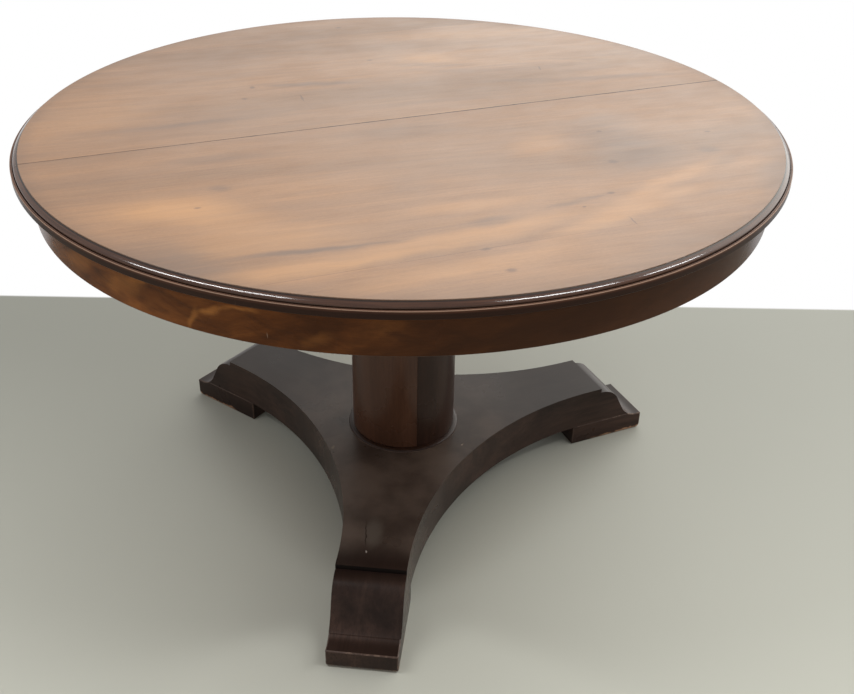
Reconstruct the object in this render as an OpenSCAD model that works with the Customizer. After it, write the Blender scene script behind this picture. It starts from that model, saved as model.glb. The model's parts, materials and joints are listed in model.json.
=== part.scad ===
// Round extending pedestal table.
// The top is cut in two along a diameter, the seam, which lies along X.  Each
// half, with its piece of apron, draws out along Y on wooden runners that are
// tongued into two fixed rails on top of the column.  The column is coopered
// from staves and veneered, and an iron rod ties it to a platform of three
// mitred arms with hollowed sides and ogee feet.
// Millimetres, +Z up, origin on the floor on the column's axis.

/* [Table] */
// Height from the floor to the table top
table_h = 760; // [600:1:920]
// Diameter of the table top
top_d = 1280; // [1060:1:1560]
// Thickness of the table top
top_t = 22; // [18:0.5:30]

/* [Top] */
// Gap between the closed halves
seam_gap = 0.8; // [0.4:0.1:3]
// Width of a half's outer board, from its glue joint to the rim
outer_board_w = 143; // [80:1:180]
// How far the edge moulding reaches in from the rim
mould_w = 12.5; // [8:0.5:20]
// Step down from the flat top to the edge moulding
mould_step = 1.4; // [0.5:0.1:3]
// Height of the rim's upright face above the underside
rim_h = 12.5; // [8:0.5:14]
// Width of the flat lip outside the moulding's quirk
lip_w = 4; // [2:0.5:6]

/* [Apron] */
// How far the apron stands in from the rim
apron_inset = 25; // [15:1:60]
// Height of the apron
apron_h = 68; // [45:1:110]
// Thickness of the apron's pine core
apron_core_t = 18; // [12:0.5:30]
// Thickness of the apron's veneer
apron_veneer_t = 2; // [1:0.5:4]

/* [Slide] */
// How far each half draws out
travel = 250; // [100:1:320]
// Width of a fixed rail
rail_w = 40; // [36:1:60]
// Distance from the middle of the table to a fixed rail's middle
rail_x = 170; // [140:1:260]
// Distance that the rails' and runners' ends keep from the apron
slide_end = 45; // [25:1:80]
// Width of a moving runner
runner_w = 38; // [30:1:60]
// Height of the tongue
tongue_h = 14; // [8:1:20]
// Depth that the tongue reaches into the rail's groove
tongue_d = 12; // [8:1:16]
// Clearance between the sliding faces
slide_clear = 0.5; // [0.3:0.1:1.5]
// Diameter of the stop peg in a rail's groove
stop_d = 10; // [6:1:14]

/* [Column] */
// Diameter of the column over its veneer
column_d = 200; // [160:1:240]
// Thickness of the column's staves
stave_t = 28; // [20:1:40]
// Thickness of the column's veneer
column_veneer_t = 1.5; // [0.8:0.1:3]
// Direction of the veneer's joint round the column, in degrees
veneer_joint = -95; // [-180:1:180]
// Height of the thin bead round the column's foot
bead_h = 6; // [4:0.5:15]
// Length of the plugs inside the column's ends
plug_len = 45; // [30:1:80]
// Diameter of the tie rod
rod_d = 16; // [12:1:20]

/* [Bearer] */
// Length of the bearer along the rails
bearer_len = 280; // [230:1:400]
// Thickness of the bearer
bearer_t = 28; // [20:1:36]

/* [Base] */
// Turn of the first arm from the X axis, in degrees
base_turn = 2.7; // [-60:0.1:60]
// Distance from the axis to the toes
toe_r = 537; // [450:1:640]
// Width of each arm at its foot
arm_w = 122; // [90:1:150]
// Distance from the axis to the middle of a hollowed side
waist_r = 169.5; // [150:0.5:215]
// Thickness of the platform
slab_t = 83; // [70:0.5:120]
// Height of the foot blocks under the arms
foot_h = 44.5; // [40:0.5:60]
// Length of a foot block, in from the toe
foot_len = 170; // [120:1:200]
// Radius of the round lower edge of the toe
toe_round = 9; // [3:1:14]

/* [Ogee] */
// Depth of the quirk where the ogee starts
quirk_h = 9; // [4:0.5:14]
// Radius of the ogee's upper roll
roll_r = 45; // [30:1:50]
// Radius of the ogee's lower hollow
hollow_r = 45; // [30:1:50]
// Steepest slope of the ogee, in degrees
ogee_slope = 63; // [45:1:70]
// Width of the flat ledge at the toe
toe_ledge = 10.6; // [4:0.2:16]
// Height of that ledge above the floor
ledge_z = 38; // [20:0.5:39]

/* [Hardware] */
// Diameter of the wood screws' shanks
screw_d = 5; // [4:0.5:6]
// Diameter of the wood screws' heads
screw_head_d = 10; // [8:0.5:12]
// Diameter of the pegs that line up the two halves
peg_d = 10; // [6:0.5:12]
// Distance between neighbouring pegs
peg_pitch = 300; // [200:1:340]
// Length of each peg that stands out of the front half
peg_out = 14; // [8:1:20]
// Radial clearance of the pegs in their sockets
peg_clear = 0.25; // [0.1:0.05:0.6]

/* [Hidden] */
top_r = top_d / 2;
top_under = table_h - top_t;
board_joint = top_r - outer_board_w;
apron_r = top_r - apron_inset;
apron_core_r = apron_r - apron_veneer_t;
apron_in_r = apron_core_r - apron_core_t;
apron_under = top_under - apron_h;
// The bearer's underside is level with the apron's lower edge
bearer_z = apron_under;
rail_z = bearer_z + bearer_t;
rail_h = top_under - slide_clear - rail_z;
rail_side = rail_x + rail_w / 2;
slide_r = apron_in_r - slide_end;
rail_len = 2 * sqrt(pow(slide_r, 2) - pow(rail_side, 2));
runner_x = rail_side + slide_clear;
groove_z = rail_z + rail_h / 2;
groove_d = tongue_d + slide_clear;
// Each runner starts a little way from the seam and ends inside the apron.  Its
// tongue is as long as the travel leaves room for, ahead of the stop peg
tongue_y = 15;
runner_len = sqrt(pow(slide_r, 2) - pow(runner_x + runner_w, 2)) - tongue_y;
stop_y = rail_len / 2 - 1.5 * stop_d;
tongue_len = stop_y - stop_d / 2 - travel - tongue_y;
bearer_w = 2 * rail_side;
crossbar_t = 30;
crossbar_h = rail_h - 8;
platform_z = foot_h + slab_t;
column_r = column_d / 2;
stave_r = column_r - column_veneer_t;
column_in_r = stave_r - stave_t;
stave_count = 8;
stave_turn = 12;
column_len = bearer_z - platform_z;
bead_out = 9;
rod_clear = 0.5;
washer_t = 3;
washer_d = 44;
nut_d = 30;
nut_h = 13;
recess_d = washer_d + 12;
recess_h = 20;
apron_pieces = 3;
arm_count = 3;
arm_half = arm_w / 2;
// A hollowed side is an arc tangent to the arms' straight sides
sector = 180 / arm_count;
hollow_c = (waist_r - arm_half) / (1 - sin(sector));
hollow_side_r = hollow_c * sin(sector) - arm_half;
arm_bend_x = hollow_c * cos(sector);
roll_top = platform_z - quirk_h;
ogee_run = (roll_r + hollow_r) * sin(ogee_slope);
ogee_drop = (roll_r + hollow_r) * (1 - cos(ogee_slope));
ogee_straight = roll_top - ledge_z - ogee_drop;
ogee_len = ogee_run + ogee_straight / tan(ogee_slope);
hollow_x = toe_r - toe_ledge;
roll_x = hollow_x - ogee_len;
quirk_w = 2.5;
spline_in = 45;
spline_len = 90;
spline_w = 50;
spline_h = 16;
fit = 0.1;
foot_screw_x = [toe_r - foot_len + 30, roll_x + 15];
foot_screw_sink = 4;
foot_screw_len = foot_h - foot_screw_sink + 30;
runner_screw_end = 42;
runner_screw_y = [for (t = [0, 0.5, 1])
    tongue_y + runner_screw_end + t * (runner_len - 2 * runner_screw_end)];
runner_screw_sink = 12;
runner_screw_bite = 12;
runner_screw_len = top_under - rail_z - runner_screw_sink + runner_screw_bite;
bearer_screw_y = bearer_len / 2 - 40;
bearer_screw_bite = 22;
peg_x = [for (n = [-1.5, -0.5, 0.5, 1.5]) n * peg_pitch];
peg_z = table_h - top_t / 2;
peg_in = 18;
block_len = 60;
block_w = 24;
block_h = 40;
block_turns = [14, 38, 52, 128, 142, 166];
round_fn = 180;
small_fn = 36;

// The space of one closed half, y > 0, clear of the seam by half its gap
module half_space(size) {
    translate([-size, seam_gap / 2, -size]) cube([2 * size, size, 3 * size]);
}

// A wedge of the space round Z, between two directions less than 180 degrees apart
module wedge(from, to, size) {
    mid = (from + to) / 2;
    reach = size * 2;
    translate([0, 0, -size]) linear_extrude(3 * size) polygon([
        [0, 0],
        reach * [cos(from), sin(from)],
        reach * [cos(mid), sin(mid)] * 1.2,
        reach * [cos(to), sin(to)]]);
}

module tube(outer, inner, height) {
    difference() {
        cylinder(h = height, r = outer, $fn = round_fn);
        translate([0, 0, -1]) cylinder(h = height + 2, r = inner, $fn = round_fn);
    }
}

// A countersunk wood screw pointing up, with its head's face at z = 0
module screw(len) {
    cone = (screw_head_d - screw_d) / 2;
    rotate_extrude($fn = small_fn) polygon([
        [0, 0], [screw_head_d / 2, 0], [screw_d / 2, cone],
        [screw_d / 2, len - screw_d], [0, len]]);
}

// The hole that such a screw leaves, from mouth below its head
module screw_hole(len, mouth) {
    cone = (screw_head_d - screw_d) / 2;
    r = screw_d / 2 + fit;
    head = screw_head_d / 2 + fit;
    rotate_extrude($fn = small_fn) polygon([
        [0, -mouth], [head, -mouth], [head, fit], [r, cone + fit],
        [r, len - screw_d + fit], [0, len + fit]]);
}

// Edge of the top: flat, step, quarter round, quirk, lip and upright rim
module top_profile() {
    lip_z = top_under + rim_h;
    start_z = table_h - mould_step;
    roll_w = mould_w - lip_w - 1;
    roll_h = start_z - lip_z - 2;
    flat_r = top_r - mould_w;
    round = 1;
    steps = 10;
    polygon(concat(
        [[0, top_under], [top_r - 1.5, top_under], [top_r, top_under + 1.5]],
        [for (k = [0 : 5]) let (a = 90 * k / 5)
            [top_r - round + round * cos(a), lip_z - round + round * sin(a)]],
        [[top_r - lip_w, lip_z], [flat_r + roll_w + 0.3, lip_z - 1]],
        [for (k = [0 : steps]) let (a = 90 * k / steps)
            [flat_r + roll_w * cos(a), lip_z + 2 + roll_h * sin(a)]],
        [[flat_r, table_h], [0, table_h]]));
}

module half_top() {
    intersection() {
        rotate_extrude($fn = round_fn) top_profile();
        half_space(top_d);
    }
}

// Screw places under one half, for a half that lies at y > 0
module at_runner_screws() {
    for (side = [-1, 1]) for (y = runner_screw_y)
        translate([side * (runner_x + runner_w / 2), y, rail_z + runner_screw_sink]) children();
}

module runner_screw_set() {
    color("silver") at_runner_screws() screw(runner_screw_len);
}

module runner_screw_holes() {
    at_runner_screws() screw_hole(runner_screw_len, 2 * runner_screw_sink);
}

module at_pegs() {
    for (x = peg_x) translate([x, 0, peg_z]) rotate([-90, 0, 0]) children();
}

// Blind holes in a half's seam face, for the pegs
module peg_holes(r, depth) {
    translate([0, seam_gap / 2, 0]) at_pegs()
        translate([0, 0, -1]) cylinder(h = depth + 1, r = r, $fn = small_fn);
}

module inner_board(peg_hole_r, peg_depth) {
    color("sienna") difference() {
        intersection() {
            half_top();
            translate([-top_d, 0, 0]) cube([2 * top_d, board_joint, table_h * 2]);
        }
        peg_holes(peg_hole_r, peg_depth);
        runner_screw_holes();
    }
}

module outer_board() {
    color("peru") difference() {
        intersection() {
            half_top();
            translate([-top_d, board_joint, 0]) cube([2 * top_d, top_d, table_h * 2]);
        }
        runner_screw_holes();
    }
}

module apron_core(k) {
    turn = 180 / apron_pieces;
    color("burlywood") translate([0, 0, apron_under]) intersection() {
        tube(apron_core_r, apron_in_r, apron_h);
        wedge((k - 1) * turn, k * turn, top_d);
        half_space(top_d);
    }
}

module apron_veneer() {
    color("saddlebrown") translate([0, 0, apron_under]) intersection() {
        tube(apron_r, apron_core_r, apron_h);
        half_space(top_d);
    }
}

module glue_blocks() {
    color("tan") intersection() {
        for (a = block_turns) rotate(a)
            translate([apron_in_r - block_w, -block_len / 2, top_under - block_h])
                cube([block_w * 2, block_len, block_h]);
        cylinder(h = table_h, r = apron_in_r, $fn = round_fn);
    }
}

// Moving runner on the side x > 0, with a tongue towards the rail
module runner() {
    color("tan") difference() {
        union() {
            translate([runner_x, tongue_y, rail_z])
                cube([runner_w, runner_len, top_under - rail_z]);
            translate([runner_x - tongue_d, tongue_y, groove_z - tongue_h / 2])
                cube([tongue_d + 1, tongue_len, tongue_h]);
        }
        runner_screw_holes();
    }
}

// Fixed rail on the side x > 0, grooved along its outer face
module rail() {
    groove = tongue_h + 2 * slide_clear;
    color("tan") difference() {
        translate([rail_x - rail_w / 2, -rail_len / 2, rail_z]) cube([rail_w, rail_len, rail_h]);
        translate([rail_side - groove_d, -rail_len, groove_z - groove / 2])
            cube([groove_d + 1, 2 * rail_len, groove]);
        at_stops() cylinder(h = rail_h * 2, r = stop_d / 2 + fit, $fn = small_fn);
        bearer_screw_holes();
    }
}

module at_stops() {
    for (side = [-1, 1]) for (end = [-1, 1])
        translate([side * (rail_side - groove_d / 2), end * stop_y, rail_z + 4]) children();
}

module stop_pegs() {
    color("peru") at_stops() cylinder(h = rail_h - 4, r = stop_d / 2, $fn = small_fn);
}

module rail_crossbar() {
    span = 2 * (rail_x - rail_w / 2);
    color("tan") translate([-span / 2, rail_len / 2 - crossbar_t - 20, rail_z])
        cube([span, crossbar_t, crossbar_h]);
}

module at_bearer_screws() {
    for (side = [-1, 1]) for (end = [-1, 1])
        translate([side * (rail_x - groove_d / 2), end * bearer_screw_y, bearer_z]) children();
}

module bearer_screws() {
    color("silver") at_bearer_screws() screw(bearer_t + bearer_screw_bite);
}

module bearer_screw_holes() {
    at_bearer_screws() screw_hole(bearer_t + bearer_screw_bite, 1);
}

module bearer() {
    color("burlywood") difference() {
        translate([-bearer_w / 2, -bearer_len / 2, bearer_z])
            cube([bearer_w, bearer_len, bearer_t]);
        bearer_screw_holes();
        rod_hole(rod_clear);
    }
}

module rod_hole(clear) {
    cylinder(h = table_h, r = rod_d / 2 + clear, $fn = small_fn * 2);
}

module column_stave(k) {
    turn = 360 / stave_count;
    color("burlywood") translate([0, 0, platform_z]) intersection() {
        tube(stave_r, column_in_r, column_len);
        wedge(stave_turn + (k - 1) * turn, stave_turn + k * turn, table_h);
    }
}

module column_veneer(from) {
    color("saddlebrown") translate([0, 0, platform_z]) intersection() {
        tube(column_r, stave_r, column_len);
        rotate(from) translate([-column_d, 0, -1]) cube([2 * column_d, column_d, table_h]);
    }
}

// Thin half-round bead on the platform round the column's foot
module column_bead() {
    steps = 8;
    color("saddlebrown") translate([0, 0, platform_z]) rotate_extrude($fn = round_fn)
        polygon(concat(
            [[column_r + fit, 0]],
            [for (k = [0 : steps]) let (a = 90 * k / steps)
                [column_r + fit + bead_out * cos(a), bead_h * sin(a)]]));
}

module column_plug(z) {
    color("burlywood") translate([0, 0, z]) difference() {
        cylinder(h = plug_len, r = column_in_r - fit, $fn = round_fn);
        translate([0, 0, -1]) rod_hole(rod_clear);
    }
}

module tie_rod() {
    low = foot_h + recess_h - washer_t - nut_h - 4;
    high = rail_z + washer_t + nut_h + 5;
    color("dimgray") translate([0, 0, low]) cylinder(h = high - low, d = rod_d, $fn = small_fn * 2);
}

module tie_nut(z) {
    color("dimgray") translate([0, 0, z]) difference() {
        cylinder(h = nut_h, d = nut_d, $fn = 6);
        translate([0, 0, -1]) cylinder(h = nut_h + 2, r = rod_d / 2 + fit, $fn = small_fn * 2);
    }
}

module tie_washer(z) {
    color("gray") translate([0, 0, z]) difference() {
        cylinder(h = washer_t, d = washer_d, $fn = small_fn * 2);
        translate([0, 0, -1]) cylinder(h = washer_t + 2, r = rod_d / 2 + rod_clear, $fn = small_fn * 2);
    }
}

// Plan of one arm along +X: its third of the platform and the straight arm
module arm_plan() {
    waist = waist_r * [cos(sector), sin(sector)];
    difference() {
        polygon([
            [0, 0], waist, [arm_bend_x, waist[1]], [arm_bend_x, arm_half],
            [toe_r, arm_half], [toe_r, -arm_half],
            [arm_bend_x, -arm_half], [arm_bend_x, -waist[1]], [waist[0], -waist[1]]]);
        for (side = [-1, 1])
            translate([hollow_c * cos(sector), side * hollow_c * sin(sector)])
                circle(r = hollow_side_r, $fn = 720);
    }
}

// Side view of an arm and its foot block in one, x outwards and y up
module arm_side() {
    steps = 12;
    polygon(concat(
        [[-1, -1], [toe_r, -1], [toe_r, ledge_z]],
        [for (k = [0 : steps]) let (a = ogee_slope * k / steps)
            [hollow_x - hollow_r * sin(a), ledge_z + hollow_r * (1 - cos(a))]],
        [for (k = [0 : steps]) let (a = ogee_slope * (1 - k / steps))
            [roll_x + roll_r * sin(a), roll_top - roll_r * (1 - cos(a))]],
        [[roll_x - quirk_w, roll_top], [roll_x - quirk_w, platform_z], [-1, platform_z]]));
}

module base_arm(k) {
    color("#3a1d14") difference() {
        rotate(arm_dir(k)) intersection() {
            translate([0, 0, foot_h]) linear_extrude(slab_t + 1) arm_plan();
            side_solid();
        }
        rod_hole(rod_clear);
        cylinder(h = foot_h + recess_h, d = recess_d, $fn = small_fn * 2);
        for (j = [1 : arm_count]) mitre_tongue(j, fit);
        rotate(arm_dir(k)) foot_screw_holes();
    }
}

module side_solid() {
    rotate([90, 0, 0]) translate([0, 0, -waist_r]) linear_extrude(2 * waist_r) arm_side();
}

function arm_dir(k) = base_turn + (k - 1) * 360 / arm_count;

// Tongue across the mitre that follows arm k
module mitre_tongue(k, gap) {
    rotate(arm_dir(k) + sector)
        translate([spline_in - gap, -spline_w / 2 - gap, platform_z - slab_t / 2 - spline_h / 2 - gap])
            cube([spline_len + 2 * gap, spline_w + 2 * gap, spline_h + 2 * gap]);
}

module foot_block(k) {
    color("#3a1d14") rotate(arm_dir(k)) difference() {
        intersection() {
            translate([toe_r - foot_len, -arm_half, 0]) cube([foot_len, arm_w, foot_h]);
            side_solid();
        }
        toe_corner();
        foot_screw_holes();
    }
}

// What is planed off the foot block along the toe's lower edge
module toe_corner() {
    difference() {
        translate([toe_r - toe_round, -arm_w, -1]) cube([toe_round + 1, 2 * arm_w, toe_round + 1]);
        translate([toe_r - toe_round, -arm_w - 1, toe_round]) rotate([-90, 0, 0])
            cylinder(h = 2 * arm_w + 2, r = toe_round, $fn = 72);
    }
}

module at_foot_screws() {
    for (x = foot_screw_x) for (side = [-1, 1])
        translate([x, side * (arm_half - 24), foot_screw_sink]) children();
}

module foot_screw_holes() {
    at_foot_screws() screw_hole(foot_screw_len, 2 * foot_screw_sink);
}

module foot_screws() {
    color("silver") for (k = [1 : arm_count]) rotate(arm_dir(k))
        at_foot_screws() screw(foot_screw_len);
}

// The front half is the back half turned half way round
module front() {
    rotate(180) children();
}

module seam_pegs() {
    color("peru") front() translate([0, seam_gap / 2, 0]) at_pegs()
        translate([0, 0, -peg_out - seam_gap])
            cylinder(h = peg_in + peg_out + seam_gap, r = peg_d / 2, $fn = small_fn);
}

peg_hole_r = peg_d / 2 + fit;
socket_r = peg_d / 2 + peg_clear;

front() inner_board(peg_hole_r, peg_in);  // front_inner_board
front() outer_board();  // front_outer_board
inner_board(socket_r, peg_out + 1);  // back_inner_board
outer_board();  // back_outer_board
for (k = [1 : apron_pieces]) {
    front() apron_core(k);
    apron_core(k);
}
front() apron_veneer();  // front_apron_veneer
apron_veneer();  // back_apron_veneer
front() glue_blocks();  // front_glue_blocks
glue_blocks();  // back_glue_blocks
front() runner();  // front_runner_left
front() mirror([1, 0, 0]) runner();  // front_runner_right
mirror([1, 0, 0]) runner();  // back_runner_left
runner();  // back_runner_right
front() runner_screw_set();  // front_runner_screws
runner_screw_set();  // back_runner_screws
seam_pegs();
mirror([1, 0, 0]) rail();  // rail_left
rail();  // rail_right
front() rail_crossbar();  // rail_crossbar_front
rail_crossbar();  // rail_crossbar_back
stop_pegs();
bearer();
bearer_screws();
for (k = [1 : stave_count])
    column_stave(k);
column_veneer(veneer_joint + 180);  // column_veneer_front
column_veneer(veneer_joint);  // column_veneer_back
column_bead();
column_plug(bearer_z - plug_len);  // column_top_plug
column_plug(platform_z);  // column_foot_plug
tie_rod();
tie_nut(rail_z + washer_t);  // tie_nut_top
tie_washer(rail_z);  // tie_washer_top
tie_nut(foot_h + recess_h - washer_t - nut_h);  // tie_nut_bottom
tie_washer(foot_h + recess_h - washer_t);  // tie_washer_bottom
for (k = [1 : arm_count]) {
    base_arm(k);
    color("tan") mitre_tongue(k, 0);
    foot_block(k);
}
foot_screws();
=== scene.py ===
"""Looks of a round extending pedestal table in old mahogany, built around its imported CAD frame.

The boards, veneers, bead, arms and foot blocks are rebuilt with eased and worn edges, in the places and
sizes that the frame gives. Everything hidden under the top keeps its CAD shape. All materials are
procedural. Metres, +Z up, the seam of the top along X.
"""

import json
import math

import bmesh
import bpy
from mathutils import Matrix, Vector


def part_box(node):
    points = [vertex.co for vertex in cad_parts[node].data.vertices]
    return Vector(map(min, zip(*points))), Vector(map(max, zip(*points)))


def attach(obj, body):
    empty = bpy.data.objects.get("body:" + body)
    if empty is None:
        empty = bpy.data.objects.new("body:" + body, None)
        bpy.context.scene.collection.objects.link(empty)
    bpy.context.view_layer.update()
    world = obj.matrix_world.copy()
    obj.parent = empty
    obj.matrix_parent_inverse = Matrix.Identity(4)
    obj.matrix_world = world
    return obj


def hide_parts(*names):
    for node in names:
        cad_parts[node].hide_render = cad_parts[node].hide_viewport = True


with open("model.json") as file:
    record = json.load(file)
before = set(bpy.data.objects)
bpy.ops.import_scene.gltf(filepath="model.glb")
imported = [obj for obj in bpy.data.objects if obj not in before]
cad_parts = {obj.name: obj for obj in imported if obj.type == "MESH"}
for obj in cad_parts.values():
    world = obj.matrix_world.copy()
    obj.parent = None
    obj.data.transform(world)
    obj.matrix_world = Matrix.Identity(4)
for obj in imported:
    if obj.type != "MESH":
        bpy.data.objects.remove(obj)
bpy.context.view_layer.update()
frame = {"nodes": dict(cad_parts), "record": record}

# ---------------------------------------------------------------- sizes, from the frame where it has them
BOARD_LOW, BOARD_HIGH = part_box("back_inner_board")
TOP_R = BOARD_HIGH.x
TOP_Z = BOARD_HIGH.z
TOP_UNDER = BOARD_LOW.z
SEAM_Y = BOARD_LOW.y
JOINT_Y = BOARD_HIGH.y
APRON_LOW, APRON_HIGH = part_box("back_apron_veneer")
APRON_R = APRON_HIGH.x
APRON_T = 0.002
COLUMN_LOW, COLUMN_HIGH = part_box("column_veneer_front")
COLUMN_R = 0.100
COLUMN_VENEER_T = 0.0015
COLUMN_JOINT = math.radians(-95)
BEAD_LOW, BEAD_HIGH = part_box("column_bead")
ARM_LOW, ARM_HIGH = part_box("base_arm_1")
PLATFORM_Z = ARM_HIGH.z
ARM_UNDER = ARM_LOW.z
BASE_TURN = math.radians(2.7)
ARM_COUNT = 3
TOE_R = 0.537
ARM_HALF = 0.061
WAIST_R = 0.1695
FOOT_LEN = 0.170
TOE_ROUND = 0.009
QUIRK_H, QUIRK_W = 0.009, 0.0025
ROLL_R = HOLLOW_R = 0.045
OGEE_SLOPE = math.radians(63)
TOE_LEDGE = 0.0106
LEDGE_Z = 0.038
MOULD_W, MOULD_STEP = 0.0125, 0.0014
ROLL_FLAT = 40.0
RIM_H, LIP_W = 0.0125, 0.004
ROUND_STEPS = 720


# ---------------------------------------------------------------- node trees
class Graph:
    """Writes a node tree in short calls. Values may be numbers, tuples or sockets."""

    def __init__(self, tree):
        self.tree = tree
        tree.nodes.clear()

    def node(self, kind, values=(), **settings):
        n = self.tree.nodes.new("ShaderNode" + kind)
        for key, value in settings.items():
            setattr(n, key, value)
        for key, value in dict(values).items():
            self.put(n.inputs[key], value)
        return n

    def put(self, socket, value):
        if isinstance(value, bpy.types.NodeSocket):
            self.tree.links.new(value, socket)
        elif socket.type == "RGBA":
            socket.default_value = (*value, 1.0)[:4]
        else:
            socket.default_value = value

    def math(self, operation, a, b=0.0, clamp=False):
        n = self.node("Math", {0: a, 1: b}, operation=operation, use_clamp=clamp)
        return n.outputs[0]

    def vector(self, operation, a, b=(0.0, 0.0, 0.0)):
        return self.node("VectorMath", {0: a, 1: b}, operation=operation).outputs[0]

    def length(self, vec):
        return self.node("VectorMath", {0: vec}, operation="LENGTH").outputs["Value"]

    def dot(self, a, b):
        return self.node("VectorMath", {0: a, 1: b}, operation="DOT_PRODUCT").outputs["Value"]

    def place(self, vec, move=(0, 0, 0), turn=0.0, scale=(1, 1, 1)):
        """vec moved so that `move` is the middle, then turned about Z, then scaled."""
        at = self.vector("SUBTRACT", vec, move)
        if turn:
            at = self.node("Mapping", {"Vector": at, "Rotation": (0, 0, -turn)}).outputs[0]
        return self.vector("MULTIPLY", at, scale)

    def noise(self, vec, scale=1.0, detail=4.0, rough=0.5, distort=0.0):
        values = {"Vector": vec, "Scale": scale, "Detail": detail, "Roughness": rough, "Distortion": distort}
        return self.node("TexNoise", values).outputs["Fac"]

    def noise_colour(self, vec, scale=1.0, detail=2.0):
        values = {"Vector": vec, "Scale": scale, "Detail": detail}
        return self.node("TexNoise", values).outputs["Color"]

    def span(self, fac, low, high, to_low=0.0, to_high=1.0):
        """fac from low..high to to_low..to_high, smoothly and clamped."""
        values = {0: fac, 1: low, 2: high, 3: to_low, 4: to_high}
        return self.node("MapRange", values, interpolation_type="SMOOTHSTEP").outputs[0]

    def mix(self, fac, a, b, blend="MIX"):
        n = self.node("Mix", data_type="RGBA", blend_type=blend)
        self.put(n.inputs[0], fac)
        self.put(n.inputs[6], a)
        self.put(n.inputs[7], b)
        return n.outputs[2]

    def ramp(self, fac, *stops):
        n = self.node("ValToRGB", {0: fac})
        marks = n.color_ramp.elements
        while len(marks) < len(stops):
            marks.new(0.5)
        for mark, (pos, colour) in zip(marks, stops):
            mark.position = pos
            mark.color = (*colour, 1.0)
        return n.outputs[0]

    def tint(self, colour, amount, fac, *stops):
        """colour multiplied by a ramp over fac."""
        return self.mix(amount, colour, self.ramp(fac, *stops), "MULTIPLY")

    def bump(self, height, strength, distance, normal=None):
        values = {"Height": height, "Strength": strength, "Distance": distance}
        if normal is not None:
            values["Normal"] = normal
        return self.node("Bump", values).outputs[0]

    def split(self, vec):
        return self.node("SeparateXYZ", {0: vec}).outputs

    def join(self, x, y, z=0.0):
        return self.node("CombineXYZ", {0: x, 1: y, 2: z}).outputs[0]

    def position(self):
        return self.node("TexCoord").outputs["Object"]


def material(name):
    mat = bpy.data.materials.new(name)
    mat.use_nodes = True
    return mat, Graph(mat.node_tree)


def finish_surface(g, colour, rough, normal=None, **values):
    """The closing shader of every material."""
    inputs = {"Base Color": colour, "Roughness": rough}
    inputs.update({key.replace("_", " "): value for key, value in values.items()})
    if normal is not None:
        inputs["Normal"] = normal
    shader = g.node("BsdfPrincipled", inputs)
    out = g.node("OutputMaterial")
    g.tree.links.new(shader.outputs[0], out.inputs[0])


def patch(g, vec, x, y, half_x, half_y, turn=0.0, soft=0.25):
    """1 in the middle of an ellipse at x, y, fading to 0 at its edge."""
    at = g.place(vec, (x, y, 0), math.radians(turn), (1 / half_x, 1 / half_y, 0))
    reach = g.length(at)
    return g.span(reach, soft, 1.0, 1.0, 0.0)


def wobble(g, vec, scale, amount):
    """vec pushed about by a soft noise, so that patches get natural outlines."""
    push = g.vector("SUBTRACT", g.noise_colour(vec, scale), (0.5, 0.5, 0.5))
    return g.vector("ADD", vec, g.vector("MULTIPLY", push, (amount, amount, amount)))


# ---------------------------------------------------------------- top
# Patches in the figure of the top: x, y, half length, half width, turn in degrees, strength
GOLD, UMBER = (0.50, 0.262, 0.112), (0.135, 0.090, 0.069)
GOLD_PATCHES = [
    (-0.445, -0.235, 0.115, 0.055, -16, 0.95),
    (-0.370, -0.290, 0.110, 0.060, -30, 0.55),
    (-0.330, -0.375, 0.170, 0.045, -6, 0.60),
    (-0.290, -0.470, 0.210, 0.036, 2, 0.75),
    (-0.060, -0.450, 0.240, 0.030, 4, 0.70),
    (-0.030, -0.365, 0.120, 0.024, -8, 0.45),
    (-0.100, -0.535, 0.200, 0.030, 3, 0.50),
    (0.170, -0.460, 0.200, 0.024, 16, 0.65),
    (0.250, -0.400, 0.200, 0.022, 24, 0.55),
    (0.165, 0.300, 0.070, 0.040, -10, 0.50),
    (0.160, -0.190, 0.070, 0.050, 40, 0.35),
    (0.330, 0.430, 0.260, 0.040, -6, 0.30),
    (-0.480, 0.170, 0.120, 0.070, 0, 0.30),
    (0.430, 0.200, 0.200, 0.018, -14, 0.35),
]
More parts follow.
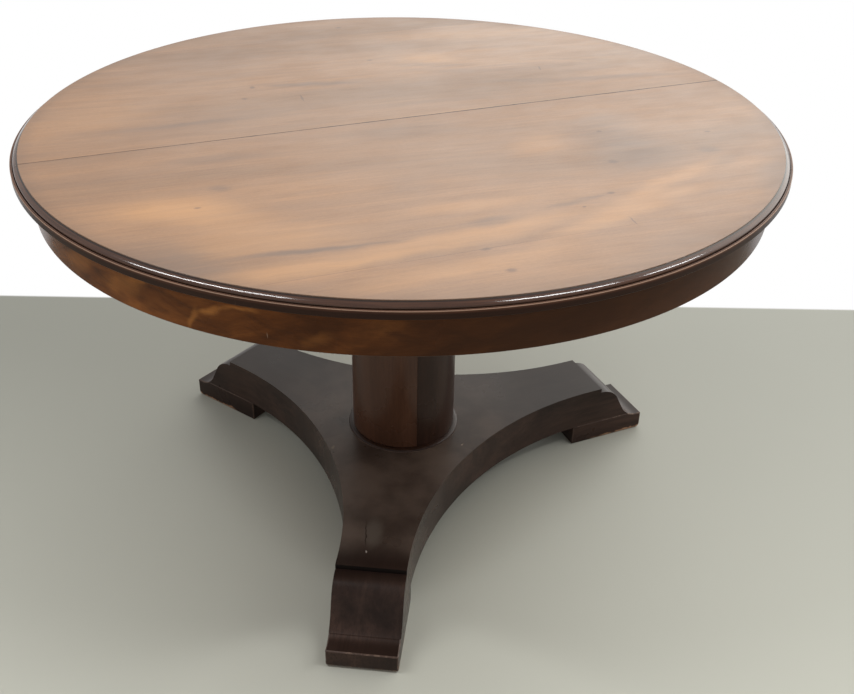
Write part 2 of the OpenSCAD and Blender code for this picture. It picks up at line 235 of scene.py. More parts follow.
DARK_PATCHES = [
    (0.290, -0.225, 0.085, 0.125, 12, 0.85),
    (0.250, -0.300, 0.070, 0.050, 0, 0.40),
    (0.330, -0.120, 0.070, 0.035, -8, 0.45),
    (0.405, -0.295, 0.024, 0.020, 10, 0.80),
    (0.470, -0.400, 0.100, 0.035, 42, 0.75),
    (0.405, -0.345, 0.060, 0.018, 25, 0.50),
    (0.200, -0.570, 0.180, 0.030, 14, 0.50),
    (-0.085, 0.222, 0.125, 0.014, -14, 0.95),
    (0.150, 0.262, 0.110, 0.016, -16, 0.55),
    (0.210, 0.205, 0.150, 0.014, -16, 0.45),
    (0.420, 0.205, 0.160, 0.008, -18, 0.55),
    (0.420, 0.085, 0.180, 0.014, -10, 0.85),
    (0.260, 0.122, 0.110, 0.010, -12, 0.50),
    (-0.330, 0.090, 0.290, 0.011, 1, 0.60),
    (0.080, 0.060, 0.180, 0.010, -8, 0.40),
    (-0.420, 0.070, 0.160, 0.040, 0, 0.35),
    (-0.270, -0.421, 0.140, 0.009, -5, 1.00),
    (-0.025, -0.420, 0.055, 0.013, -4, 0.85),
    (0.120, -0.400, 0.080, 0.009, 10, 0.80),
    (-0.460, -0.395, 0.120, 0.050, -48, 0.85),
    (-0.330, -0.075, 0.110, 0.024, -4, 0.55),
    (-0.020, -0.065, 0.130, 0.034, -4, 0.55),
    (-0.350, -0.190, 0.026, 0.014, -30, 0.80),
    (-0.240, 0.400, 0.130, 0.060, 0, 0.30),
    (-0.060, 0.510, 0.160, 0.014, 2, 0.45),
    (0.100, 0.400, 0.150, 0.030, -6, 0.30),
    (-0.090, -0.270, 0.060, 0.050, 0, 0.25),
]
# Small knots, dents and scratches: x, y, half length, half width, turn
TOP_MARKS = [
    (-0.400, -0.246, 0.008, 0.004, 0),
    (0.285, -0.165, 0.008, 0.006, 10),
    (0.457, -0.224, 0.008, 0.006, 0),
    (0.120, -0.423, 0.005, 0.003, 30),
    (0.180, -0.392, 0.010, 0.006, 0),
    (0.242, -0.288, 0.012, 0.010, 0),
    (-0.067, -0.498, 0.012, 0.006, 0),
    (-0.060, -0.563, 0.012, 0.008, 0),
    (0.163, -0.487, 0.020, 0.002, 84),
    (-0.138, 0.152, 0.026, 0.003, 86),
    (-0.235, 0.180, 0.009, 0.007, 0),
    (-0.208, 0.236, 0.012, 0.007, 80),
    (0.340, 0.172, 0.018, 0.003, 72),
    (0.045, 0.322, 0.008, 0.006, 0),
    (0.053, 0.556, 0.010, 0.007, 20),
]


def top_figure(g, pos, seed):
    """Colour of the top's wood before its marks: broad bands, fine grain and ribbon."""
    board = g.vector("ADD", pos, (seed, seed * 0.37, 0.0))
    bent = wobble(g, board, 1.6, 0.06)
    bands = g.noise(g.place(bent, turn=math.radians(-5), scale=(1.2, 7.0, 0)), 1.0, 5.0, 0.55, 0.6)
    streaks = g.noise(g.place(bent, turn=math.radians(-4), scale=(3.0, 46.0, 0)), 1.0, 5.0, 0.6, 0.3)
    fibre = g.noise(g.place(board, scale=(26.0, 620.0, 0)), 1.0, 3.0, 0.6)
    tone = g.ramp(bands, (0.30, (0.238, 0.134, 0.074)), (0.50, (0.298, 0.164, 0.088)),
                  (0.72, (0.350, 0.188, 0.094)))
    tone = g.mix(g.span(streaks, 0.35, 0.68, 0.0, 0.30), tone, (0.195, 0.114, 0.074))
    lines = g.noise(g.place(bent, turn=math.radians(-3), scale=(7.0, 170.0, 0)), 1.0, 4.0, 0.65)
    tone = g.tint(tone, 0.5, lines, (0.35, (0.84, 0.83, 0.82)), (0.65, (1.10, 1.10, 1.10)))
    tone = g.tint(tone, 0.45, fibre, (0.3, (0.78, 0.76, 0.74)), (0.7, (1.12, 1.10, 1.08)))
    mottle = g.noise(g.place(board, scale=(150.0, 420.0, 0)), 1.0, 3.0, 0.7)
    tone = g.tint(tone, 0.5, mottle, (0.3, (0.82, 0.82, 0.81)), (0.7, (1.14, 1.15, 1.15)))
    return tone, fibre


def top_patches(g, pos, tone):
    """The larger light and dark patches, ragged and drawn out along the grain."""
    ragged = wobble(g, wobble(g, pos, 5.0, 0.050), 22.0, 0.016)
    stretched = g.noise(g.place(ragged, turn=math.radians(-5), scale=(5.0, 60.0, 0)), 1.0, 4.0, 0.6)
    for x, y, half_x, half_y, turn, strength in GOLD_PATCHES:
        shape = patch(g, ragged, x, y, half_x * 1.15, half_y * 1.25, turn, 0.1)
        shape = g.math("MULTIPLY", shape, g.span(stretched, 0.70, 0.30, 0.60, 1.0))
        tone = g.mix(g.math("MULTIPLY", shape, strength * 0.85), tone, GOLD)
    for x, y, half_x, half_y, turn, strength in DARK_PATCHES:
        shape = patch(g, ragged, x, y, half_x * 1.15, half_y * 1.35, turn, 0.10)
        shape = g.math("MULTIPLY", shape, g.span(stretched, 0.28, 0.68, 0.50, 1.0))
        tone = g.mix(g.math("MULTIPLY", shape, strength * 0.72), tone, UMBER)
    return tone


def top_marks(g, pos, tone):
    """Small knots, dents and scratches."""
    marks, ragged = 0.0, wobble(g, pos, 120.0, 0.004)
    for x, y, half_x, half_y, turn in TOP_MARKS:
        mark = patch(g, ragged, x, y, half_x, half_y, turn, 0.2)
        marks = g.math("MAXIMUM", marks, mark)
    return g.mix(g.math("MULTIPLY", marks, 0.60), tone, (0.10, 0.058, 0.044))


def top_lines(g, pos, tone):
    """Dirt in the seam, the darker rim of the flat, and the glue joints between boards."""
    x, y, z = g.split(pos)
    off_seam = g.math("ABSOLUTE", y)
    rag = g.span(g.noise(pos, 55.0, 4.0, 0.7), 0.3, 0.7, -0.0005, 0.0007)
    seam = g.span(g.math("ADD", off_seam, rag), 0.0010, 0.0026, 1.0, 0.0)
    dirt = g.span(g.noise(g.place(pos, scale=(9.0, 0, 0)), 1.0, 3.0, 0.6), 0.3, 0.7, 0.55, 1.0)
    dirt = g.math("MULTIPLY", dirt, g.span(x, -0.45, 0.05, 0.62, 1.0))
    tone = g.mix(g.math("MULTIPLY", seam, dirt), tone, (0.045, 0.028, 0.020))
    radius = g.length(g.join(x, y))
    edge_r = TOP_R - MOULD_W
    tone = g.mix(g.span(radius, edge_r - 0.0014, edge_r - 0.0002, 0.0, 0.5), tone, (0.04, 0.020, 0.012))
    tone = g.mix(g.span(radius, edge_r - 0.030, edge_r, 0.0, 0.30), tone, (0.13, 0.075, 0.050))
    off_joint = g.math("ABSOLUTE", g.math("SUBTRACT", off_seam, JOINT_Y))
    line = g.math("MULTIPLY", g.span(off_joint, 0.0002, 0.0013, 1.0, 0.0), g.math("MULTIPLY", dirt, 0.50))
    seen = g.math("MAXIMUM", g.span(x, -0.1, 0.25, 1.0, 0.25), g.span(y, 0.0, 0.2))
    return g.mix(g.math("MULTIPLY", line, seen), tone, (0.10, 0.060, 0.042))


def top_wood(name, seed):
    """Faded mahogany veneer under an old, slightly smeared polish."""
    mat, g = material(name)
    pos = g.position()
    tone, fibre = top_figure(g, pos, seed)
    tone = top_patches(g, pos, tone)
    tone = top_marks(g, pos, tone)
    tone = top_lines(g, pos, tone)
    pores = g.noise(g.place(pos, scale=(90.0, 1500.0, 0)), 1.0, 2.0, 0.5)
    tone = g.mix(g.span(pores, 0.60, 0.74, 0.0, 0.30), tone, (0.16, 0.085, 0.055))
    cloud = g.noise(pos, 3.5, 3.0, 0.6)
    smear = g.noise(g.place(pos, scale=(14.0, 40.0, 0)), 1.0, 3.0, 0.6)
    rough = g.math("ADD", g.span(cloud, 0.3, 0.7, 0.34, 0.44), g.span(smear, 0.3, 0.8, -0.03, 0.04))
    normal = g.bump(fibre, 0.10, 0.0004)
    normal = g.bump(cloud, 0.08, 0.004, normal)
    finish_surface(g, tone, rough, normal, IOR=1.5, Specular_IOR_Level=0.55)
    return mat


def edge_wood(name, dark, light, rough, worn=0.0, specular=0.5, lines=()):
    """Polished mahogany whose grain runs round the rim or along an arris.

    lines are rings of another tone: radius, height, half width, strength, colour."""
    mat, g = material(name)
    pos = g.position()
    x, y, z = g.split(pos)
    along = g.math("MULTIPLY", g.math("ARCTAN2", y, x), TOP_R)
    radius = g.length(g.join(x, y))
    flat = g.join(along, z, radius)
    grain = g.noise(g.place(flat, scale=(9.0, 420.0, 420.0)), 1.0, 5.0, 0.6)
    blotch = g.noise(pos, 7.0, 3.0, 0.6)
    tone = g.mix(g.span(grain, 0.3, 0.7), dark, light)
    tone = g.mix(g.span(blotch, 0.35, 0.7, 0.0, 0.6), tone, dark)
    if worn:
        chips = g.noise(pos, 140.0, 4.0, 0.7)
        where = g.span(g.noise(pos, 6.0, 2.0), 0.42, 0.62, 0.25, 1.0)
        amount = g.math("MULTIPLY", g.span(chips, 0.45, 0.72, 0.1, worn), where)
        tone = g.mix(amount, tone, (0.30, 0.20, 0.145))
    for ring_r, ring_z, half, strength, colour in lines:
        gap = g.length(g.join(g.math("SUBTRACT", radius, ring_r), g.math("SUBTRACT", z, ring_z)))
        tone = g.mix(g.math("MULTIPLY", g.span(gap, half * 0.4, half, 1.0, 0.0), strength), tone, colour)
    normal = g.bump(g.noise(pos, 60.0, 3.0, 0.6), 0.10, 0.0015)
    finish_surface(g, tone, g.span(blotch, 0.3, 0.7, rough, rough + 0.08), normal, IOR=1.5,
                   Specular_IOR_Level=specular)
    return mat


def apron_wood(name):
    """Flame-figured veneer: soft orange clouds in dark brown, drawn out along the rim."""
    mat, g = material(name)
    pos = g.position()
    x, y, z = g.split(pos)
    turn = g.math("ARCTAN2", y, x)
    along = g.math("MULTIPLY", turn, APRON_R)
    flat = g.join(along, g.math("SUBTRACT", z, APRON_LOW.z))
    bent = wobble(g, flat, 9.0, 0.035)
    cloud = g.noise(g.place(bent, turn=math.radians(14), scale=(5.5, 20.0, 0)), 1.0, 5.0, 0.58, 0.8)
    ribbon = g.noise(g.place(bent, turn=math.radians(-10), scale=(16.0, 70.0, 0)), 1.0, 4.0, 0.6, 0.4)
    fibre = g.noise(g.place(flat, scale=(40.0, 900.0, 0)), 1.0, 3.0, 0.6)
    tone = g.ramp(cloud, (0.30, (0.056, 0.018, 0.006)), (0.50, (0.128, 0.041, 0.011)),
                  (0.64, (0.195, 0.066, 0.017)), (0.80, (0.260, 0.096, 0.024)))
    tone = g.mix(g.span(ribbon, 0.40, 0.75, 0.0, 0.6), tone, (0.044, 0.016, 0.007))
    ragged = wobble(g, wobble(g, flat, 14.0, 0.05), 45.0, 0.012)
    for degrees, height, half_u, half_v, tilt, strength in APRON_GLOWS:
        u = math.radians(degrees) * APRON_R
        glow = patch(g, ragged, u, height, half_u, half_v, tilt, 0.05)
        tone = g.mix(g.math("MULTIPLY", glow, strength), tone, (0.36, 0.140, 0.036))
    aside = g.math("ABSOLUTE", g.math("ADD", turn, APRON_PLAIN_AT))
    tone = g.mix(g.span(aside, 0.35, 1.05, 0.86, 0.0), tone, (0.046, 0.020, 0.011))
    tone = g.tint(tone, 0.5, fibre, (0.3, (0.72, 0.72, 0.72)), (0.7, (1.15, 1.15, 1.15)))
    for degrees, height, length, tilt in APRON_TICKS:
        u = math.radians(degrees) * APRON_R
        tick = patch(g, flat, u, height, 0.0009, length, tilt, 0.2)
        tone = g.mix(g.math("MULTIPLY", tick, 0.7), tone, (0.30, 0.20, 0.14))
    normal = g.bump(fibre, 0.08, 0.0004)
    normal = g.bump(g.noise(flat, 26.0, 2.0), 0.10, 0.003, normal)
    rough = g.span(g.noise(pos, 8.0, 3.0), 0.3, 0.7, 0.24, 0.36)
    finish_surface(g, tone, rough, normal, IOR=1.40, Specular_IOR_Level=0.10)
    return mat


# Bright places in the apron: direction in degrees, height, half length, half height, tilt, strength
APRON_GLOWS = [
    (-130.5, 0.042, 0.034, 0.007, 16, 0.80),
    (-134.0, 0.028, 0.030, 0.008, 30, 0.90),
    (-136.5, 0.012, 0.022, 0.010, 60, 0.70),
    (-144.0, 0.050, 0.050, 0.007, 8, 0.50),
    (-148.0, 0.036, 0.070, 0.022, 20, 0.45),
    (-158.0, 0.030, 0.060, 0.026, 30, 0.35),
    (-120.0, 0.020, 0.040, 0.014, 25, 0.30),
    (48.0, 0.030, 0.060, 0.016, 35, 0.6),
    (110.0, 0.030, 0.080, 0.018, -25, 0.5),
]
# The middle of the plain dark stretch of the apron, in radians towards -Y from +X
APRON_PLAIN_AT = 1.25
# Hairline scratches in the apron: direction in degrees, height, half length, tilt
APRON_TICKS = [(-128.4, 0.057, 0.008, 6), (-151.0, 0.054, 0.008, -8), (-126.5, 0.016, 0.006, 4)]


def dark_wood(name, turn, dark, mid, light, upright=False, rough=0.26, specular=0.2, marks=(), dust_and_sheen=None,
              bare=0.0):
    """Dark polished mahogany. The grain runs along X turned by `turn`, or up where upright is set.

    The dust and sheen argument gives the distances from the axis between which the pale haze on top fades
    out; this haze is dust and also a painted sheen, and where it is given the upward faces are drawn darker
    as painted shade.
    bare is how much wood shows at a foot's lower edge. marks are patches: x, y, half length, half width,
    turn, colour."""
    mat, g = material(name)
    pos = g.position()
    local = g.place(pos, turn=turn)
    if upright:
        x, y, z = g.split(pos)
        local = g.join(z, g.math("MULTIPLY", g.math("ARCTAN2", y, x), COLUMN_R), 0.0)
    bent = wobble(g, local, 4.0, 0.03)
    bands = g.noise(g.place(bent, scale=(2.6, 22.0, 14.0)), 1.0, 5.0, 0.58, 0.5)
    streaks = g.noise(g.place(bent, scale=(9.0, 190.0, 120.0)), 1.0, 4.0, 0.6)
    fibre = g.noise(g.place(local, scale=(40.0, 1100.0, 700.0)), 1.0, 3.0, 0.6)
    blotch = g.noise(pos, 9.0, 4.0, 0.6)
    tone = g.ramp(bands, (0.32, dark), (0.55, mid), (0.75, light))
    tone = g.mix(g.span(streaks, 0.38, 0.72, 0.0, 0.6), tone, dark)
    tone = g.mix(g.span(blotch, 0.42, 0.75, 0.0, 0.5), tone, mid)
    tone = g.tint(tone, 0.5, fibre, (0.3, (0.7, 0.7, 0.7)), (0.7, (1.2, 1.2, 1.2)))
    scuffs = g.noise(g.place(pos, scale=(60.0, 60.0, 60.0)), 1.0, 6.0, 0.7, 1.5)
    tone = g.mix(g.span(scuffs, 0.66, 0.80, 0.0, 0.35), tone, (0.16, 0.105, 0.075))
    if dust_and_sheen:
        up = g.split(g.node("NewGeometry").outputs["Normal"])[2]
        # Painted shade: upward faces are drawn darker.
        tone = g.mix(g.span(up, 0.90, 0.99, 0.0, 0.75), tone, dark)
        # Pale grey haze on upward faces near the axis: dust, and also a painted sheen.
        dust_and_sheen_amount = g.span(g.noise(pos, 11.0, 4.0), 0.3, 0.7, 0.30, 0.85)
        dust_and_sheen_amount = g.math("MULTIPLY", g.span(up, 0.75, 0.98), dust_and_sheen_amount)
        axis_distance = g.length(g.vector("MULTIPLY", pos, (1, 1, 0)))
        dust_and_sheen_amount = g.math("MULTIPLY", dust_and_sheen_amount, g.span(axis_distance, *dust_and_sheen, 1.0, 0.02))
        tone = g.mix(dust_and_sheen_amount, tone, (0.125, 0.092, 0.074))
    if bare:
        rag = g.span(g.noise(pos, 45.0, 4.0, 0.7), 0.3, 0.7, -0.003, 0.004)
        low = g.math("ADD", g.split(pos)[2], rag)
        reach = g.span(g.split(g.place(pos, turn=turn))[0], 0.40, 0.46)
        amount = g.math("MULTIPLY", g.span(low, 0.0035, 0.0065, bare, 0.0), reach)
        tone = g.mix(amount, tone, (0.42, 0.235, 0.140))
    ragged = wobble(g, pos, 90.0, 0.006)
    for mx, my, half_x, half_y, mark_turn, colour in marks:
        spot = patch(g, ragged, mx, my, half_x, half_y, mark_turn, 0.3)
        tone = g.mix(g.math("MULTIPLY", spot, 0.8), tone, colour)
    cloud = g.noise(pos, 6.0, 4.0, 0.6)
    normal = g.bump(fibre, 0.10, 0.0004)
    normal = g.bump(g.noise(pos, 30.0, 3.0), 0.07, 0.003, normal)
    finish_surface(g, tone, g.span(cloud, 0.3, 0.7, rough, rough + 0.12), normal, IOR=1.45,
                   Specular_IOR_Level=specular)
    return mat


def plain_wood(name, dark, light, axis, rough=0.6):
    """Planed and unpolished softwood or oak, with its grain along one axis."""
    mat, g = material(name)
    pos = g.position()
    scale = [70.0, 70.0, 70.0]
    scale["XYZ".index(axis)] = 3.0
    fine = [900.0, 900.0, 900.0]
    fine["XYZ".index(axis)] = 30.0
    bent = wobble(g, pos, 3.0, 0.03)
    rings = g.noise(g.place(bent, scale=scale), 1.0, 4.0, 0.55, 0.6)
    fibre = g.noise(g.place(pos, scale=fine), 1.0, 3.0, 0.6)
    tone = g.mix(g.span(rings, 0.32, 0.68), dark, light)
    tone = g.tint(tone, 0.5, fibre, (0.3, (0.75, 0.75, 0.75)), (0.7, (1.15, 1.15, 1.15)))
    dirt = g.noise(pos, 5.0, 4.0, 0.65)
    tone = g.mix(g.span(dirt, 0.45, 0.8, 0.0, 0.6), tone, tuple(c * 0.45 for c in dark))
    normal = g.bump(fibre, 0.25, 0.0006)
    finish_surface(g, tone, rough, normal)
    return mat


def metal(name, dark, light, rough, rust):
    mat, g = material(name)
    pos = g.position()
    cloud = g.noise(pos, 60.0, 5.0, 0.6)
    pits = g.noise(pos, 400.0, 3.0, 0.6)
    tone = g.mix(g.span(cloud, 0.3, 0.7), dark, light)
    tone = g.mix(g.span(g.noise(pos, 110.0, 5.0, 0.7), 0.5, 0.7, 0.0, rust), tone, (0.13, 0.045, 0.018))
    normal = g.bump(pits, 0.3, 0.0004)
    finish_surface(g, tone, g.span(cloud, 0.3, 0.7, rough, rough + 0.15), normal, Metallic=0.85)
    return mat


# ---------------------------------------------------------------- mesh helpers
def new_object(name, bm):
    mesh = bpy.data.meshes.new(name)
    bmesh.ops.recalc_face_normals(bm, faces=bm.faces)
    bm.to_mesh(mesh)
    bm.free()
    obj = bpy.data.objects.new(name, mesh)
    bpy.context.scene.collection.objects.link(obj)
    return obj


def lathe(bm, profile, steps=ROUND_STEPS):
    """Turns a closed profile of (r, z) round Z. Points on the axis become one vertex."""
    rings = []
    for r, z in profile:
        if r == 0:
            rings.append([bm.verts.new((0, 0, z))])
            continue
        turns = [math.tau * k / steps for k in range(steps)]
        rings.append([bm.verts.new((r * math.cos(a), r * math.sin(a), z)) for a in turns])
    for a, b in zip(rings, rings[1:] + rings[:1]):
        if len(a) == 1 and len(b) == 1:
            continue
        for k in range(steps):
            j = (k + 1) % steps
            corners = [a[0]] if len(a) == 1 else [a[k], a[j]]
            corners += [b[0]] if len(b) == 1 else [b[j], b[k]]
            bm.faces.new(corners)


def keep_side(bm, point, normal):
    """Cuts the solid by a plane, drops what the normal points to, and closes the cut."""
    geometry = bm.verts[:] + bm.edges[:] + bm.faces[:]
    cut = bmesh.ops.bisect_plane(bm, geom=geometry, dist=1e-7, plane_co=point, plane_no=normal,
                                 clear_outer=True)
    edges = [e for e in cut["geom_cut"] if isinstance(e, bmesh.types.BMEdge)]
    bmesh.ops.triangle_fill(bm, use_beauty=True, use_dissolve=True, edges=edges)


def soften(obj, angle=32):
    """Smooth shading that breaks at real edges."""
    obj.data.shade_smooth()
    obj.data.set_sharp_from_angle(angle=math.radians(angle))


def ease(obj, width, segments=2, angle=35, worn_slot=None, weighted=False):
    """Rounds the edges of a piece. worn_slot is the material slot of the rounded faces."""
    mod = obj.modifiers.new("ease", "BEVEL")
    mod.width = width
    mod.segments = segments
    mod.limit_method = "WEIGHT" if weighted else "ANGLE"
    mod.angle_limit = math.radians(angle)
    if worn_slot is not None:
        mod.material = worn_slot
    return mod


def apply_modifiers(obj):
    graph = bpy.context.evaluated_depsgraph_get()
    mesh = bpy.data.meshes.new_from_object(obj.evaluated_get(graph))
    obj.modifiers.clear()
    obj.data = mesh


def dress(obj, *materials):
    if obj.data.materials:
        obj.data.materials.clear()
    for mat in materials:
        obj.data.materials.append(mat)


def stand_for(obj, node, body):
    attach(obj, body)
    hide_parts(node)


# ---------------------------------------------------------------- shapes
def roll_length(turn):
    """Length of the worn roll's stretch that faces `turn` above the level, against a round roll's."""
    off_flat = math.degrees(turn) - ROLL_FLAT
    length = 1 + 9.0 * math.exp(-((off_flat / 9) ** 2))
    if off_flat > 10:
        return length * 0.35
    if off_flat < -12:
        return length * 1.5
    return length


def worn_roll(steps=18):
    """A quarter roll from (1, 0) to (0, 1), rubbed a little flat in its middle."""
    turns = [math.pi / 2 * (k + 0.5) / steps for k in range(steps)]
    lengths = [roll_length(a) for a in turns]
    across = sum(l * math.sin(a) for l, a in zip(lengths, turns))
    up = sum(l * math.cos(a) for l, a in zip(lengths, turns))
    points = [(1.0, 0.0)]
    for l, a in zip(lengths, turns):
        u, v = points[-1]
        points.append((u - l * math.sin(a) / across, v + l * math.cos(a) / up))
    return points


def top_profile():
    """Edge of the top from the axis at the underside round to the axis on top."""
    lip_z = TOP_UNDER + RIM_H
    start_z = TOP_Z - MOULD_STEP
    flat_r = TOP_R - MOULD_W
    roll_w = MOULD_W - LIP_W - 0.001
    roll_h = start_z - lip_z - 0.002
    nose, chamfer = 0.001, 0.0015
    points = [(0, TOP_UNDER), (TOP_R - 0.03, TOP_UNDER), (TOP_R - chamfer, TOP_UNDER)]
    points.append((TOP_R, TOP_UNDER + chamfer))
    for k in range(5):
        a = math.pi / 2 * k / 4
        points.append((TOP_R - nose + nose * math.cos(a), lip_z - nose + nose * math.sin(a)))
    points.append((TOP_R - LIP_W, lip_z))
    points.append((flat_r + roll_w + 0.0003, lip_z - 0.001))
    points += [(flat_r + roll_w * u, lip_z + 0.002 + roll_h * v) for u, v in worn_roll()]
    points += [(flat_r, TOP_Z - 0.0003), (flat_r - 0.0004, TOP_Z), (TOP_R - 0.05, TOP_Z), (0, TOP_Z)]
    return points


def board(name, side, low, high):
    """One board of the top between two distances from the seam. side is 1 behind it and -1 in front."""
    bm = bmesh.new()
    lathe(bm, top_profile())
    keep_side(bm, (0, side * low, 0), (0, -side, 0))
    if high < TOP_R:
        keep_side(bm, (0, side * high, 0), (0, side, 0))
    edge_r = TOP_R - MOULD_W + 1e-4
    for face in bm.faces:
        middle = face.calc_center_median()
        on_edge = math.hypot(middle.x, middle.y) > edge_r
        if on_edge and middle.z > TOP_UNDER + 1e-4:
            face.material_index = 1 if middle.z > TOP_UNDER + RIM_H else 2
    obj = new_object(name, bm)
    soften(obj, 28)
    return obj


def ring_piece(name, profile, cuts, steps=ROUND_STEPS):
    """A turned ring cut by planes through or beside the axis."""
    bm = bmesh.new()
    lathe(bm, profile, steps)
    for point, normal in cuts:
        keep_side(bm, point, normal)
    obj = new_object(name, bm)
    soften(obj, 28)
    return obj


def arm_half_width(x):
    """Half the width of an arm at a distance x along it."""
    sector = math.pi / ARM_COUNT
    centre = (WAIST_R - ARM_HALF) / (1 - math.sin(sector))
    radius = centre * math.sin(sector) - ARM_HALF
    if x <= WAIST_R * math.cos(sector):
        return x * math.tan(sector)
    if x >= centre * math.cos(sector):
        return ARM_HALF
    across = math.sqrt(radius**2 - (x - centre * math.cos(sector)) ** 2)
    return centre * math.sin(sector) - across


def ogee_points():
    """(x, z) along the end of an arm and its foot, from the platform's flat to the toe."""
    roll_top = PLATFORM_Z - QUIRK_H
    drop = (ROLL_R + HOLLOW_R) * (1 - math.cos(OGEE_SLOPE))
    straight = (roll_top - LEDGE_Z - drop) / math.tan(OGEE_SLOPE)
    hollow_x = TOE_R - TOE_LEDGE
    roll_x = hollow_x - (ROLL_R + HOLLOW_R) * math.sin(OGEE_SLOPE) - straight
    points = [(roll_x - QUIRK_W, PLATFORM_Z), (roll_x - QUIRK_W, roll_top)]
    for k in range(17):
        a = OGEE_SLOPE * k / 16
        points.append((roll_x + ROLL_R * math.sin(a), roll_top - ROLL_R * (1 - math.cos(a))))
    for k in range(17):
        a = OGEE_SLOPE * (1 - k / 16)
        points.append((hollow_x - HOLLOW_R * math.sin(a), LEDGE_Z + HOLLOW_R * (1 - math.cos(a))))
    points.append((TOE_R, LEDGE_Z))
    return points


def split_ogee():
    """The ogee's points above and below the joint between arm and foot block."""
    points = ogee_points()
    above = [p for p in points if p[1] > ARM_UNDER]
    below = [p for p in points if p[1] <= ARM_UNDER]
    (x0, z0), (x1, z1) = above[-1], below[0]
    joint = (x0 + (x1 - x0) * (z0 - ARM_UNDER) / (z0 - z1), ARM_UNDER)
    return above + [joint], [joint] + below


def arm(name, direction):
    """One arm of the platform, lofted from sections across it."""
    waist_x = WAIST_R * math.cos(math.pi / ARM_COUNT)
    ogee = split_ogee()[0]
    flat_end = ogee[0][0]
    steps = 48
    sections = [(waist_x + (flat_end - waist_x) * k / steps, PLATFORM_Z) for k in range(steps)] + ogee
    bm = bmesh.new()
    weight = bm.edges.layers.float.new("bevel_weight_edge")
    low_axis, high_axis = [bm.verts.new((0, 0, z)) for z in (ARM_UNDER, PLATFORM_Z)]
    low, high = [], []
    for k, (x, z) in enumerate(sections):
        half = arm_half_width(x)
        same = k > 0 and abs(x - sections[k - 1][0]) < 1e-9
        low.append(low[-1] if same else [bm.verts.new((x, s * half, ARM_UNDER)) for s in (-1, 1)])
        at_joint = z - ARM_UNDER < 1e-6
        high.append(low[-1] if at_joint else [bm.verts.new((x, s * half, z)) for s in (-1, 1)])
    bm.faces.new((high_axis, high[0][0], high[0][1]))
    bm.faces.new((low_axis, low[0][1], low[0][0]))
    for s in (0, 1):
        bm.faces.new((low_axis, low[0][s], high[0][s], high_axis))
    for k in range(1, len(sections)):
        riser = bm.faces.new((high[k - 1][0], high[k][0], high[k][1], high[k - 1][1]))
        if low[k] is low[k - 1]:
            # The quirk's upright face takes slot 2, a near-black painted shade.
            riser.material_index = 2
            continue
        bm.faces.new((low[k - 1][0], low[k - 1][1], low[k][1], low[k][0]))
        step_follows = k + 1 < len(sections) and abs(sections[k + 1][0] - sections[k][0]) < 1e-9
        for s in (0, 1):
            corners = [low[k - 1][s], low[k][s]] + ([high[k + 1][s]] if step_follows else [])
            corners += [] if high[k] is low[k] else [high[k][s]]
            bm.faces.new(corners + [high[k - 1][s]])
    for edge in bm.edges:
        a, b = edge.verts
        if low_axis in (a, b) or high_axis in (a, b) or len(edge.link_faces) != 2:
            continue
        if edge.calc_face_angle() > math.radians(40):
            edge[weight] = 1.0 if abs(a.co.z - b.co.z) < 1e-6 or abs(a.co.x - b.co.x) > 1e-6 else 0.5
    bmesh.ops.rotate(bm, cent=(0, 0, 0), matrix=Matrix.Rotation(direction, 3, "Z"), verts=bm.verts)
    return new_object(name, bm)


def cut_away(obj, cutter):
    mod = obj.modifiers.new("cut", "BOOLEAN")
    mod.operation = "DIFFERENCE"
    mod.solver = "EXACT"
    mod.object = cutter
    return mod


def centre_cutter():
    """The recess and the hole for the tie rod."""
    bm = bmesh.new()
    recess_h = 0.020
    lathe(bm, [(0, -0.01), (0.028, -0.01), (0.028, ARM_UNDER + recess_h), (0.0085, ARM_UNDER + recess_h),
               (0.0085, PLATFORM_Z + 0.01), (0, PLATFORM_Z + 0.01)], 64)
    return new_object("cutter_centre", bm)


def foot_block(name, direction):
    """Block under an arm's end. The ogee runs out on it, and its toe's lower edge is rounded."""
    bm = bmesh.new()
    inner_x = TOE_R - FOOT_LEN
    outline = [(inner_x, 0.0), (inner_x, ARM_UNDER)] + split_ogee()[1]
    for k in range(9):
        a = math.pi / 2 * k / 8
        outline.append((TOE_R - TOE_ROUND * (1 - math.cos(a)), TOE_ROUND * (1 - math.sin(a))))
    sides = [[bm.verts.new((x, s * ARM_HALF, z)) for x, z in outline] for s in (-1, 1)]
    bm.faces.new(sides[0])
    bm.faces.new(sides[1][::-1])
    count = len(outline)
    for k in range(count):
        j = (k + 1) % count
        bm.faces.new((sides[0][k], sides[0][j], sides[1][j], sides[1][k]))
    bmesh.ops.rotate(bm, cent=(0, 0, 0), matrix=Matrix.Rotation(direction, 3, "Z"), verts=bm.verts)
    return new_object(name, bm)


# ---------------------------------------------------------------- materials
RIM_DARK, RIM_LIGHT = (0.045, 0.017, 0.011), (0.115, 0.046, 0.026)
BASE_DARK, BASE_MID, BASE_LIGHT = (0.016, 0.0088, 0.0068), (0.040, 0.0225, 0.0170), (0.072, 0.0390, 0.0285)
BARE_FEET = [0.75, 0.9, 0.35]
